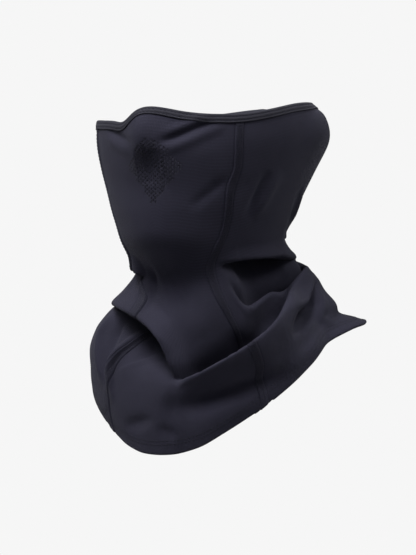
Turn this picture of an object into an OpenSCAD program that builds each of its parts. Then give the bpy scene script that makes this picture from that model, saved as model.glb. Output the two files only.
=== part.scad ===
// Half balaclava: a close-fitting stretch-fabric mask that covers the nose, cheeks,
// back of the head and neck, with a flared bib that tucks under a jacket collar.
// The frame stands on the neck: +Z up, the face looks along -Y, +X is the wearer's left.

/* [Head] */
// Width of the tube across the ears
head_w = 160; // [150:1:172]
// Depth of the tube from the face to the back of the head
head_d = 200; // [190:1:212]
// How far the nose ridge stands out of the face line
nose_h = 10; // [4:1:14]
// Height of the face edge above the neck line
face_h = 98; // [90:1:106]

/* [Bib] */
// How far the bib hangs below the neck line at the front
bib_drop = 143; // [128:1:156]
// How far the skirt hangs below the neck line at the back
back_drop = 50; // [44:1:58]
// Flare of the skirt over the shoulders
flare = 1.0; // [0.9:0.02:1.1]
// How far the back edge of the skirt turns out
brim_w = 16; // [8:1:18]

/* [Fabric] */
// Thickness of the brushed stretch fabric
fabric_t = 1.4; // [1.0:0.1:1.8]
// Finished width of the edge binding
bind_w = 6.5; // [5.5:0.5:8]
// Thickness of the binding fabric
bind_t = 0.8; // [0.6:0.1:1.0]
// Thickness of the elastic tape inside the binding
elastic_t = 0.7; // [0.5:0.1:0.9]
// Depth of the turned hem
hem_w = 10; // [8:1:12]
// Width of a flatlock seam
seam_w = 5.6; // [4.5:0.1:6.5]
// Thickness of the seam's laid-on threads
thread_t = 0.35; // [0.3:0.05:0.5]

/* [Care label] */
// Width of the blank care label
label_w = 18; // [14:1:22]
// Length of the blank care label
label_l = 32; // [24:1:36]
// Thickness of the folded label
label_t = 0.5; // [0.4:0.1:0.8]

/* [Hidden] */

cloth_col = [0.145, 0.145, 0.175];
bind_col = [0.19, 0.19, 0.215];
thread_col = [0.11, 0.11, 0.135];
elastic_col = [0.10, 0.10, 0.11];
label_col = [0.16, 0.16, 0.18];

// Laying gap between two plies, so that they never share material
gap = 0.08;
// Cells across the front panel, across each back panel, and down the tube
nf = 14;
nb = 13;
nr = 23;

kx = head_w / 160;
ky = head_d / 200;

// Half-width, front half-depth and back half-depth of the tube by height
A = [[-160, 66], [-143, 69], [-125, 77], [-110, 84], [-95, 88], [-80, 90], [-68, 89],
  [-53, 83], [-44, 76], [-34, 68], [-24, 60], [-16, 54], [-9, 51], [0, 52], [9, 55],
  [18, 58], [26, 62], [36, 66], [44, 69], [58, 74], [70, 78], [80, 80], [94, 80],
  [104, 77], [114, 72]];
BF = [[-160, 83], [-143, 84], [-110, 86], [-80, 84], [-53, 79], [-34, 74], [-22, 73],
  [-14, 77], [-6, 86], [2, 94], [9, 97], [26, 99], [44, 99], [58, 101], [70, 102],
  [80, 101], [94, 98], [104, 95], [114, 90]];
BB = [[-160, 84], [-110, 92], [-80, 98], [-62, 100], [-53, 97], [-44, 87], [-34, 76],
  [-24, 66], [-14, 57], [-6, 50], [2, 45], [9, 44], [16, 47], [26, 54], [36, 61],
  [44, 67], [58, 82], [66, 90], [76, 96], [88, 98], [98, 95], [106, 88], [116, 76]];
// How far the skirt spreads over the back of the shoulders, by height
REAR = [[-94, 0], [-76, 2], [-64, 5], [-54, 9], [-44, 11], [-32, 15], [-20, 20], [-9, 14],
  [-3, 10], [3, 4], [8, 0]];
// Angle of the side seams from the face line, by height
SEAM = [[-130, 56], [-110, 53.5], [-89, 48.5], [-75, 45.5], [-69, 45], [-60, 43], [-52, 40.3],
  [-33, 33], [-20, 32.6], [-12, 35.5], [-6, 41], [4, 47.5], [12, 49.2], [20, 49], [28, 48],
  [36, 46.5], [44, 46], [55, 48], [75, 46], [95, 45]];
// Height of the top edge above the neck line, by angle from the face line
TOP = [[0, 0], [6, -0.6], [12, -2.4], [20, -5], [30, -6.2], [45, -5.8], [57, -2.6], [68, 1.2],
  [78, 4.6], [88, 6.6], [110, 8.4], [140, 9.8], [180, 10]];
// Share of the bib's drop reached by the hem, by angle from the face line
HEM = [[0, 1], [12, 0.99], [26, 0.93], [43, 0.77], [59, 0.58], [74, 0.385], [93, 0.17],
  [108, 0.045], [122, 0], [180, 0]];

function sm(t, x, w) = (lookup(x - w, t) + 2 * lookup(x, t) + lookup(x + w, t)) / 4;
function fold(th) = abs(((th + 180) % 360 + 360) % 360 - 180);
function ztop(th) = face_h + sm(TOP, fold(th), 5);
function zbot(th) = -back_drop - (bib_drop - back_drop) * sm(HEM, fold(th), 5);

// A point on the outer face of the cloth, at an angle and a height
function skirt(z) = 1 + (flare - 1) * min(1, max(0, -z - 20) / 60);
function ease(w) = let (c = min(1, max(0, w))) c * c * (3 - 2 * c);
function rear(th, z) = let (f = fold(th), h = z - zbot(th), b = 1 - max(0, f - 120) * 0.55 / 60)
  sm(REAR, z, 3) * ease((f - 62) / 58) * ease(b)
  + brim_w * ease((f - 84) / 30) * (0.4 + 0.6 * ease(b)) * exp(-pow(h / 11, 2));
function half_w(z) = kx * skirt(z) * sm(A, z, 6);
function half_d(th, z) = ky * skirt(z) * (cos(th) >= 0 ? sm(BF, z, 6) : sm(BB, z, 6));
function nose(x, z) = nose_h * exp(-pow(x / 15, 2)) * exp(-pow((z - 82) / 24, 2));
function skin(th, z) = let (r = skirt(z) * rear(th, z),
    x = (half_w(z) + r) * sin(th), y = -(half_d(th, z) + r) * cos(th))
  [x, cos(th) > 0 ? y - nose(x, z) : y, z];
function unit(v) = v / norm(v);
function out(th, z) = unit(cross(skin(th + 1, z) - skin(th - 1, z),
  skin(th, z + 1) - skin(th, z - 1)));

// Height of a row: row 0 is the top edge, row 1 the binding's lower edge,
// rows nr - 2 and nr - 1 the raw edge of the turned hem, and row nr its fold
hem_step = 0.3;
function row_z(th, k) = let (t = ztop(th), b = zbot(th))
  k < 1 ? t - bind_w * k :
  k > nr - 1 ? b + (hem_w - hem_step) * (nr - k) :
  k > nr - 2 ? b + hem_w - hem_step * (k - nr + 2) :
  t - bind_w + (b + hem_w - t + bind_w) * (k - 1) / (nr - 3);
function seam_th(k) = sm(SEAM, row_z(k > nr / 2 ? 52 : 45, k), 5);
// Half a seam's width as an angle
function half_seam(k) = seam_w / 2 / half_w(row_z(46, k)) * 57.3 / 0.95;

// Cell angles across each panel: the cells beside a seam are half a seam wide
function front_th(j, k) = let (s = seam_th(k), d = half_seam(k))
  j == 0 ? -s : j == nf ? s : -s + d + (2 * s - 2 * d) * (j - 1) / (nf - 2);
function back_th(j, k) = let (s = seam_th(k), d = half_seam(k))
  j == 0 ? s : j == nb ? 180 : s + d + (180 - s - 2 * d) * (j - 1) / (nb - 2);
n_ring = nf + 2 * nb;
half_ring = nf + nb;
function turn(j) = ((j % n_ring) + n_ring) % n_ring;
function ring_th(j, k) = j < nf ? front_th(j, k) :
  j < half_ring ? back_th(j - nf, k) : 360 - back_th(n_ring - j, k);
// Cells on the wearer's right from the back seam on are mirror images
function plain(j) = turn(floor(j)) < half_ring;

// A corner of the grid, and any place on it: each cell is two flat triangles, so
// that every ply lies on the same facets and none cuts into the next
function corner(j, k, o) = let (th = ring_th(turn(j), k), z = row_z(th, k))
  skin(th, z) + out(th, z) * o;
function at(j, k, o) = let (a = floor(j), b = min(nr - 1, max(0, floor(k))), u = j - a, v = k - b)
  u == 0 && v == 0 ? corner(a, b, o) :
  u == 0 ? corner(a, b, o) * (1 - v) + corner(a, b + 1, o) * v :
  plain(a) ?
    (u > v ? corner(a, b, o) * (1 - u) + corner(a + 1, b, o) * (u - v)
        + corner(a + 1, b + 1, o) * v :
      corner(a, b, o) * (1 - v) + corner(a, b + 1, o) * (v - u)
        + corner(a + 1, b + 1, o) * u) :
    (u + v < 1 ? corner(a, b, o) * (1 - u - v) + corner(a + 1, b, o) * u
        + corner(a, b + 1, o) * v :
      corner(a + 1, b + 1, o) * (u + v - 1) + corner(a, b + 1, o) * (1 - u)
        + corner(a + 1, b, o) * (1 - v));

// Two triangles of a cell with corners a, b (next column), c (next row and column), d
function halves(a, b, c, d, same) = same ? [[a, b, c], [a, c, d]] : [[a, b, d], [b, c, d]];

// Closed sheet over columns js and rows given as [row, outer offset, inner offset]
module sheet(js, rows) {
  r = len(rows); c = len(js);
  n = r * c;
  pts = concat([for (w = rows) for (j = js) at(j, w[0], w[1])],
    [for (w = rows) for (j = js) at(j, w[0], w[2])]);
  outer = [for (i = [0:r - 2]) for (j = [0:c - 2]) let (a = i * c + j)
    each halves(a, a + 1, a + c + 1, a + c, plain((js[j] + js[j + 1]) / 2))];
  inner = [for (f = outer) [n + f[0], n + f[2], n + f[1]]];
  ends = [for (j = [0:c - 2]) let (a = j, b = (r - 1) * c + j)
    each [[a, n + a, n + a + 1], [a, n + a + 1, a + 1],
      [b, b + 1, n + b + 1], [b, n + b + 1, n + b]]];
  sides = [for (i = [0:r - 2]) let (a = i * c, b = i * c + c - 1)
    each [[a, a + c, n + a + c], [a, n + a + c, n + a],
      [b, n + b, n + b + c], [b, n + b + c, b + c]]];
  polyhedron(points = pts, faces = concat(outer, inner, ends, sides), convexity = 8);
}

// Closed ring that carries a section, given as [offset, row] pairs, round the tube.
// Cuts are the shares of a cell where the section's rows meet its diagonal
module ring(section, cuts = []) {
  m = len(section);
  q = len(cuts);
  js = [for (j = [0:n_ring - 1]) each concat([j],
    plain(j) ? [for (c = cuts) j + c] : [for (i = [q - 1:-1:0]) j + 1 - cuts[i]])];
  w = len(js);
  pts = [for (j = js) for (s = section) at(j, s[1], s[0])];
  fs = [for (j = [0:w - 1]) for (i = [0:m - 1])
    let (a = j * m + i, b = j * m + (i + 1) % m,
      c = ((j + 1) % w) * m + (i + 1) % m, d = ((j + 1) % w) * m + i,
      down = section[(i + 1) % m][1] >= section[i][1])
    each halves(a, b, c, d, down == plain(js[j]))];
  polyhedron(points = pts, faces = fs, convexity = 8);
}

// Panels, with the turned hem as a second ply; each stops short of the next by the
// laying gap, as a share of the narrow cell beside a seam
trim = 0.012;
PLIES = concat([for (k = [0:nr - 2]) [k, 0, -fabric_t]],
  [[nr - 1, 0, -fabric_t * 2.06], [nr, 0, -fabric_t * 2.06]]);
module panel(j0, j1) sheet(
  [for (j = [j0:j1]) j == j0 ? j + trim : j == j1 ? j - trim : j], PLIES);

// Flatlock threads over a seam, from under the binding to the hem's raw edge
module seam(j, o1, o2) sheet([j - 1, j, j + 1],
  [for (k = [1:nr - 2]) [k == 1 ? 1.03 : k == nr - 2 ? nr - 2.06 : k, o2, o1]]);
cover = [gap, gap + thread_t];
looper = [-fabric_t - gap - thread_t, -fabric_t - gap];

// Plies of the binding, outward offsets from the cloth's outer face
b1 = gap;
b2 = gap + bind_t;
e1 = -fabric_t - gap;
e2 = e1 - elastic_t;
b3 = e2 - gap;
b4 = b3 - bind_t;
top_k = -0.03;
module binding() ring([[b1, 1], [b2, 1], [b2, 0], [b2, -0.06], [b2 - 0.5, -0.15],
  [b4 + 0.5, -0.15], [b4, -0.06], [b4, 0], [b4, 1], [b3, 1], [b3, 0], [b3, top_k],
  [b1, top_k], [b1, 0]]);
module elastic() ring([[e2, 1], [e1, 1], [e1, 0], [e2, 0]]);
// One line of stitches, as a flat thread round the tube, h either side of share v of row b
module stitch_ring(b, v, h, o) ring([[o, b + v + h], [o + 0.25, b + v + h],
  [o + 0.25, b + v - h], [o, b + v - h]], [v - h, v + h]);
module looper_ring(b, v0, v1, o) ring([[o - 0.25, b + v1], [o, b + v1],
  [o, b + v0], [o - 0.25, b + v0]], [v0, v1]);

// The label hangs inside, from the lower edge of the binding at the back
label_z = ztop(180) - bind_w - 1.4;
function back_wall(z) = skin(180 - label_w / 2 / 0.9, z)[1] - fabric_t;
label_y = min(back_wall(label_z), back_wall(label_z - label_l / 2),
  back_wall(label_z - label_l)) - 3.4;
module label() translate([-label_w / 2, label_y - label_t, label_z - label_l])
  cube([label_w, label_t, label_l]);
module bartacks() for (s = [-1, 1])
  translate([s * (label_w / 2 - 2.2) - 1.6, label_y + gap, label_z - 0.9]) cube([3.2, 0.9, 0.8]);

module front_panel() { color(cloth_col) panel(0, nf); }
module left_back_panel() { color(cloth_col) panel(nf, half_ring); }
module right_back_panel() { color(cloth_col) panel(half_ring, n_ring); }
module top_binding() { color(bind_col) binding(); }
module binding_elastic() { color(elastic_col) elastic(); }
module binding_needle_threads() { color(thread_col) {
  stitch_ring(0, 0.3, 0.05, b2 + gap); stitch_ring(0, 0.72, 0.05, b2 + gap); } }
module binding_looper_threads() { color(thread_col) looper_ring(0, 0.24, 0.78, b4 - gap); }
module left_seam_cover_threads() { color(thread_col) seam(nf, cover[0], cover[1]); }
module left_seam_looper_threads() { color(thread_col) seam(nf, looper[0], looper[1]); }
module right_seam_cover_threads() { color(thread_col) seam(n_ring, cover[0], cover[1]); }
module right_seam_looper_threads() { color(thread_col) seam(n_ring, looper[0], looper[1]); }
module back_seam_cover_threads() { color(thread_col) seam(half_ring, cover[0], cover[1]); }
module back_seam_looper_threads() { color(thread_col) seam(half_ring, looper[0], looper[1]); }
module hem_needle_threads() { color(thread_col) {
  stitch_ring(nr - 1, 0.093, 0.03, gap); stitch_ring(nr - 1, 0.381, 0.03, gap); } }
module hem_looper_threads() { color(thread_col)
  looper_ring(nr - 1, 0.072, 0.412, -fabric_t * 2.06 - gap); }
module care_label() { color(label_col) label(); }
module label_bartacks() { color(thread_col) bartacks(); }

front_panel();
left_back_panel();
right_back_panel();
top_binding();
binding_elastic();
binding_needle_threads();
binding_looper_threads();
left_seam_cover_threads();
left_seam_looper_threads();
right_seam_cover_threads();
right_seam_looper_threads();
back_seam_cover_threads();
back_seam_looper_threads();
hem_needle_threads();
hem_looper_threads();
care_label();
label_bartacks();
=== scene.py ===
"""Half balaclava: draped stretch-knit panels, flatlock seams, bound top edge and turned hem,
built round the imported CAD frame. Working units in this file are millimetres and degrees until a
mesh is written, when they become metres."""
import bpy, math
import numpy as np
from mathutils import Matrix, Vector
from mathutils.geometry import delaunay_2d_cdt


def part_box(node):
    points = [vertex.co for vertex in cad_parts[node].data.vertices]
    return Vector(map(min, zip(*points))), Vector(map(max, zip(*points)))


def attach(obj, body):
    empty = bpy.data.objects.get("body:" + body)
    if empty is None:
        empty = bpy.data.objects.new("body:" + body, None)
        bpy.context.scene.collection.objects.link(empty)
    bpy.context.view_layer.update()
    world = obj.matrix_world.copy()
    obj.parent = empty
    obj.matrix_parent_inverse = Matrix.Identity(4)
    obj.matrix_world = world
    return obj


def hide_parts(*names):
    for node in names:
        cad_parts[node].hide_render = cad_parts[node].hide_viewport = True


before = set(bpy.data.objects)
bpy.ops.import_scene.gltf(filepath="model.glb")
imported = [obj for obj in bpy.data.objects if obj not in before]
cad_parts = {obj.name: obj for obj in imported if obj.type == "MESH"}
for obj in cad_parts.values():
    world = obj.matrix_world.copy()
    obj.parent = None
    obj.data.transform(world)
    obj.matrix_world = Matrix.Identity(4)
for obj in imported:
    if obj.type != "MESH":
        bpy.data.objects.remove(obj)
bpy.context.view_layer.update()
MM = 0.001

# ------------------------------------------------------------------ the form under the cloth
# Half-width, front half-depth and back half-depth of the tube by height above the neck line
A = [(-160, 66), (-143, 69), (-125, 77), (-110, 84), (-95, 88), (-80, 90), (-68, 89), (-53, 83),
     (-44, 76), (-34, 68), (-24, 60), (-16, 54), (-9, 51), (0, 52), (9, 55), (18, 58), (26, 62),
     (36, 66), (44, 69), (58, 74), (70, 78), (80, 80), (94, 80), (104, 77), (114, 72)]
BF = [(-160, 83), (-143, 84), (-110, 86), (-80, 84), (-53, 79), (-34, 74), (-22, 73), (-14, 77),
      (-6, 86), (2, 94), (9, 97), (26, 99), (44, 99), (58, 101), (70, 102), (80, 101), (94, 98),
      (104, 95), (114, 90)]
BB = [(-160, 84), (-110, 92), (-80, 98), (-62, 100), (-53, 97), (-44, 87), (-34, 76), (-24, 66),
      (-14, 57), (-6, 50), (2, 45), (9, 44), (16, 47), (26, 54), (36, 61), (44, 67), (58, 82),
      (66, 90), (76, 96), (88, 98), (98, 95), (106, 88), (116, 76)]
REAR = [(-94, 0), (-76, 2), (-64, 5), (-54, 9), (-44, 11), (-32, 15), (-20, 20), (-9, 14),
        (-3, 10), (3, 4), (8, 0)]
# Seams of the front panel by height: the wearer's left, and right where the bib has turned a little
SEAM_L = [(-130, 56), (-110, 53.5), (-89, 48.5), (-75, 45.5), (-69, 45), (-60, 43), (-52, 40.3),
          (-33, 33), (-20, 32.6), (-12, 35.5), (-6, 41), (4, 47.5), (12, 49.2), (20, 49), (28, 48),
          (36, 46.5), (44, 46), (55, 48), (75, 46), (95, 45)]
SEAM_R = [(-130, 36), (-110, 33), (-96, 30), (-82, 27), (-70, 22), (-58, 16), (-47, 11), (-36, 12.5),
          (-28, 18.5), (-20, 25), (-8, 32.5), (4, 39.5), (20, 44), (36, 46), (55, 48), (75, 47), (95, 46)]
TOP = [(0, 0), (6, -0.6), (12, -2.4), (20, -5), (30, -6.2), (45, -5.8), (57, -2.6), (68, 1.2),
       (78, 4.6), (88, 6.6), (110, 8.4), (140, 9.8), (180, 10)]
HEM = [(0, 1), (12, 0.99), (26, 0.93), (43, 0.755), (59, 0.562), (74, 0.372), (93, 0.155),
       (108, 0.034), (122, 0), (180, 0)]
FACE_H, BIB, BACK, BRIM = 98.0, 142.6, 51.0, 18.0


class Table:
    """A table smoothed by a bell of the given width, read at any number."""

    def __init__(self, rows, sigma, step=0.5, mirror=False):
        t = np.array(rows, float)
        t = t[np.argsort(t[:, 0])]
        if mirror:
            t = np.concatenate([np.stack([-t[::-1, 0], t[::-1, 1]], 1)[:-1], t])
        self.x = np.arange(t[0, 0] - 5 * sigma, t[-1, 0] + 5 * sigma, step)
        y = np.interp(self.x, t[:, 0], t[:, 1])
        k = np.exp(-0.5 * (np.arange(-int(4 * sigma / step), int(4 * sigma / step) + 1) * step / sigma) ** 2)
        y = np.pad(y, len(k) // 2, mode="edge")
        self.y = np.convolve(y, k / k.sum(), mode="valid")

    def __call__(self, x):
        return np.interp(x, self.x, self.y)


tA, tBF, tBB, tREAR = Table(A, 4.2), Table(BF, 4.2), Table(BB, 4.2), Table(REAR, 2.6)
tSL, tSR = Table(SEAM_L, 3.6), Table(SEAM_R, 4.5)
tTOP, tHEM = Table(TOP, 3.5, mirror=True), Table(HEM, 3.5, mirror=True)


def ease(w):
    c = np.clip(w, 0, 1)
    return c * c * (3 - 2 * c)


def bell(x):
    return np.exp(-x * x)


def wrap(th, mid=0.0):
    return (th - mid + 180.0) % 360.0 - 180.0 + mid


def ztop(th):
    t = wrap(th)
    return FACE_H + tTOP(t) - 2.2 * bell((t + 26) / 15.0) - 6.2 * bell((t + 13) / 9.0) \
        - 3.2 * bell((wrap(th, -62.0) + 62.0) / 12.0) - 9.5 * bell((wrap(th, -92.0) + 92.0) / 24.0) - 3.6 * ease((np.abs(t) - 112) / 32.0) * (1 - bell((np.abs(t) - 180) / 20.0))


def zbot(th):
    t = wrap(th)
    wave = 0.7 * np.sin(np.radians(5 * t + 20)) * ease((np.abs(t) - 60) / 40)
    return -BACK - (BIB - BACK) * tHEM(t) + wave


def uneven(t, z):
    """Where the worn cloth sits in or out of the even form, on the wearer's right."""
    return (-4.2 * bell((z + 17) / 12) * bell((t + 72) / 42) + 2.0 * bell((z + 112) / 20) * bell((t + 62) / 40)
            - 2.0 * bell((z - 74) / 36) * bell((t + 68) / 40)
            + 3.4 * bell((z - 84) / 15) * ease((t - 80) / 18) * ease((158 - t) / 26)
            - (6.6 - 1.4 * np.sign(t)) * ease((np.abs(t) - 84) / 26) * (1 - bell((np.abs(t) - 180) / 20.0)) * bell((FACE_H + tTOP(t) - z) / 4.6))


def base(th, z):
    """A point on the cloth's outer face before it folds."""
    t = wrap(th)
    r = np.radians(t)
    f = np.abs(t)
    h = z - (-BACK - (BIB - BACK) * tHEM(t))
    b = 1 - np.maximum(0, f - 120) * 0.55 / 60
    rear = (tREAR(z) + 4.6 * bell((z + 39) / 8)) * ease((f - 62) / 58) * ease(b) + BRIM * ease((f - 90) / 28) * (0.4 + 0.6 * ease(b)) * bell(h / 3.7)
    rear = rear + uneven(t, z)
    c, s = np.cos(r), np.sin(r)
    # a smooth change from the front's depth to the back's
    k = ease((c + 0.12) / 0.24)
    half = tBF(z) * k + tBB(z) * (1 - k)
    x = (tA(z) + rear) * s
    y = -(half + rear) * c
    nose = 10 * bell(x / 15) * bell((z - 82) / 24) * np.clip(c * 2, 0, 1)
    return np.stack([x, y - nose, z + 0 * x], -1)


def base_normal(th, z):
    a = base(th + 0.6, z) - base(th - 0.6, z)
    b = base(th, z + 0.8) - base(th, z - 0.8)
    n = np.cross(a, b)
    return n / np.linalg.norm(n, axis=-1, keepdims=True)


# ------------------------------------------------------------------ folds and wrinkles
RU = 1.32  # millimetres round the tube for a degree, for distances between fold lines


def unit2(v):
    return v / np.maximum(np.linalg.norm(v, axis=-1, keepdims=True), 1e-9)


class Line:
    """A smooth line over the cloth through control points (angle, height, values...)."""

    def __init__(self, pts, n=220):
        p = np.array(pts, float)
        q = np.concatenate([2 * p[:1] - p[1:2], p, 2 * p[-1:] - p[-2:-1]])
        q[0, 2:], q[-1, 2:] = p[0, 2:], p[-1, 2:]
        m = len(p) - 1
        u = np.linspace(0, m, 40 * m + 1)
        i = np.minimum(u.astype(int), m - 1)
        f = (u - i)[:, None]
        a, b, c, d = q[i], q[i + 1], q[i + 2], q[i + 3]
        v = 0.5 * (2 * b + (c - a) * f + (2 * a - 5 * b + 4 * c - d) * f ** 2 + (3 * b - a - 3 * c + d) * f ** 3)
        # values run straight between their points, so that none overshoots, and are eased below
        v[:, 2:] = b[:, 2:] + (c - b)[:, 2:] * f
        v[:, 0] *= RU
        s = np.concatenate([[0], np.cumsum(np.linalg.norm(np.diff(v[:, :2], axis=0), axis=1))])
        t = np.linspace(0, s[-1], n)
        self.v = np.stack([np.interp(t, s, v[:, k]) for k in range(v.shape[1])], 1)
        k = np.hanning(2 * (n // 16) + 3)[1:-1]
        for c in range(2, self.v.shape[1]):
            y = np.pad(self.v[:, c], len(k) // 2, mode="edge")
            self.v[:, c] = np.convolve(y, k / k.sum(), mode="valid")
        for c in (2,) if self.v.shape[1] == 5 else (2, 3, 5):
            self.v[:, c] -= np.linspace(self.v[0, c], self.v[-1, c], n) * bell(np.minimum(np.arange(n), n - 1 - np.arange(n)) / (n / 24.0))
        tan = np.gradient(self.v[:, :2], axis=0)
        tan /= np.linalg.norm(tan, axis=1, keepdims=True)
        self.n = np.stack([-tan[:, 1], tan[:, 0]], 1)
        self.mid = p[:, 0].mean()

    def near(self, th, z, reach):
        """Which points are near the line, their signed distance (positive above a line drawn left
        to right), the line's direction across, and the values there."""
        u = wrap(th, self.mid) * RU
        lo, hi = self.v[:, :2].min(0) - reach, self.v[:, :2].max(0) + reach
        m = (u > lo[0]) & (u < hi[0]) & (z > lo[1]) & (z < hi[1])
        if not m.any():
            return m, None, None, None
        p = np.stack([u[m], z[m]], 1).astype(np.float32)
        v = self.v[:, :2].astype(np.float32)
        idx = np.empty(len(p), int)
        for k in range(0, len(p), 40000):
            c = p[k:k + 40000]
            idx[k:k + 40000] = ((c[:, None, 0] - v[None, :, 0]) ** 2 + (c[:, None, 1] - v[None, :, 1]) ** 2).argmin(1)
        # between the nearest sample and its neighbour
        n = self.n.astype(np.float32)
        tan = np.stack([n[idx, 1], -n[idx, 0]], 1)
        step = np.linalg.norm(v[1] - v[0])
        at = np.clip(idx + ((p - v[idx]) * tan).sum(1) / step, 0, len(v) - 1.001)
        at = np.clip(at, np.maximum(idx - 0.6, 0), np.minimum(idx + 0.6, len(v) - 1.001))
        lo_i = at.astype(int)
        f = (at - lo_i)[:, None]
        mid = v[lo_i] * (1 - f) + v[lo_i + 1] * f
        nn = unit2(n[lo_i] * (1 - f) + n[lo_i + 1] * f)
        d = ((p - mid) * nn).sum(1)
        return m, d, nn, self.v[lo_i, 2:] * (1 - f) + self.v[lo_i + 1, 2:] * f


def swing(w):
    """An S over -1 to 1 that starts and ends flat; it peaks at a third."""
    w = np.clip(w, -1, 1)
    return 1.54 * np.sin(np.pi * w) * np.cos(np.pi * w / 2) ** 2


# Each fold: how it lies ("over": the upper cloth hangs over the lower; "under": the lower cloth's
# ridge stands in front of the upper) and its visible edge as (angle, height, overlap, depth, half-width,
# and the depth and width of the hollow behind the edge)
FOLDS = [
    # the cowl's lip over the left of the bib, round to the far side
    ("over", Line([(-140, -30, 0, 0, 10, 0, 6), (-118, -34, 2, 1.5, 9, 1, 8), (-95, -37, 3, 1.6, 9, 1, 9),
                   (-72, -38, 3.2, 1.6, 10, 0.8, 10), (-50, -39, 4.0, 1.6, 11, 3, 11), (-34, -41.5, 8, 4.8, 12, 13, 13),
                   (-16, -47.5, 8.5, 6.5, 12, 20, 16), (-5, -55, 7.5, 6.5, 11, 24, 18), (1.5, -64, 6, 5.6, 10, 23, 17),
                   (5, -74, 4.4, 4.4, 8, 18, 14), (7.3, -84, 3, 2.4, 6, 8, 8), (9.2, -93.5, 0, 0, 5, 0, 5)])),
    # the cowl's trough and ridge, from the point of the bib up to the left shoulder
    ("under", Line([(8.2, -93.5, 0, 0, 6, 0, 6), (12.5, -91.5, 3, 2.5, 8, 9, 7), (19.5, -87, 6, 4.6, 10, 17, 11),
                    (29, -79, 8, 6, 11, 22, 14), (38, -71, 9, 7, 12, 24, 16), (48, -61.5, 9, 7, 12, 24, 16),
                    (57, -52.5, 8.5, 6.5, 11, 22, 14), (66, -43.5, 8, 6, 10, 18, 11), (75, -35, 6.5, 5, 9, 12, 8),
                    (84, -28, 4, 3.4, 8, 6, 6), (94, -22.5, 2.4, 2.4, 7, 3, 5), (108, -17, 1.6, 1.6, 7, 1.5, 5),
                    (126, -13, 0, 0, 7, 0, 5)])),
    # the neck's lip over the side pocket
    ("over", Line([(40, -12.5, 0, 0, 5, 0, 6), (49, -9.5, 1.6, 1.2, 6, 3, 7), (59, -7.4, 3.6, 2.6, 7, 12, 9),
                   (72, -6, 5.2, 3.6, 8, 17, 11), (85, -5.2, 4.4, 2.8, 8, 14, 10), (98, -4.6, 2.6, 1.4, 7, 4.5, 8),
                   (110, -4.2, 1.2, 0.6, 6, 1, 6), (122, -3.5, 1.2, 0.8, 6, 0.8, 6), (138, -1, 1.6, 1.0, 6, 1, 6),
                   (156, 1, 0, 0, 6, 0, 5)])),
    # the ridge that closes the side pocket
    ("under", Line([(41, -23, 0, 0, 6, 0, 6), (44.5, -29, 0.8, 1.2, 7, 2, 7), (49.5, -34.8, 1.8, 2.4, 8, 5, 8),
                    (55, -35.2, 2.4, 3.4, 8.5, 8, 9), (62, -32.4, 3.2, 4.4, 9, 12, 9), (71, -28.0, 3.6, 4.9, 9, 14, 9),
                    (84, -22.4, 3.8, 4.8, 8.5, 12, 8), (96, -17.8, 3.4, 3.8, 7, 7, 6), (108, -14.2, 2.8, 2.6, 5, 3, 5),
                    (120, -10.5, 1.2, 1.4, 5, 1, 4), (132, -8, 0, 0, 5, 0, 4)])),
    # a crease on the shoulder, beside the ridge
    ("over", Line([(108, -21, 0, 0, 4, 0, 5), (101, -26.5, 1.8, 1.5, 4.5, 3, 5), (94, -32, 2.8, 2.3, 5.5, 6, 6),
                   (86, -39, 3.2, 2.6, 6, 7, 7), (78, -46, 2.8, 2.3, 6, 6, 7), (70, -54, 1.4, 1.4, 6, 3.5, 7),
                   (63, -60, 0, 0, 5, 0, 6)][::-1])),
    # the neck's lip on the far side
    ("over", Line([(-150, 2, 0, 0, 6, 0, 5), (-128, -2, 2.4, 1.6, 6, 1, 6), (-104, -6, 3.2, 2.0, 6, 1.5, 7),
                   (-80, -8, 3, 1.8, 6.5, 2, 7), (-58, -9, 3, 1.8, 6.5, 2.5, 7), (-47, -10.5, 3.4, 2.2, 6, 4, 6),
                   (-38, -12, 4, 3.0, 6, 8, 5), (-30, -13.5, 4.4, 3.8, 6, 12, 4.6), (-23, -16, 2.6, 2.4, 5, 7, 4.6),
                   (-17, -19, 0, 0, 4, 0, 5)])),
    # nape
    ("over", Line([(104, 11, 0, 0, 4, 0, 5), (122, 9, 2.2, 1.5, 4.5, 1, 5), (150, 8.5, 3, 2.0, 5, 1.5, 6),
                   (180, 8.2, 3.2, 2.1, 5, 1.5, 6), (212, 8.8, 2.6, 1.8, 5, 1, 6), (240, 9.5, 1.4, 1, 5, 0.5, 5),
                   (262, 11, 0, 0, 5, 0, 5)])),
]

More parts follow.
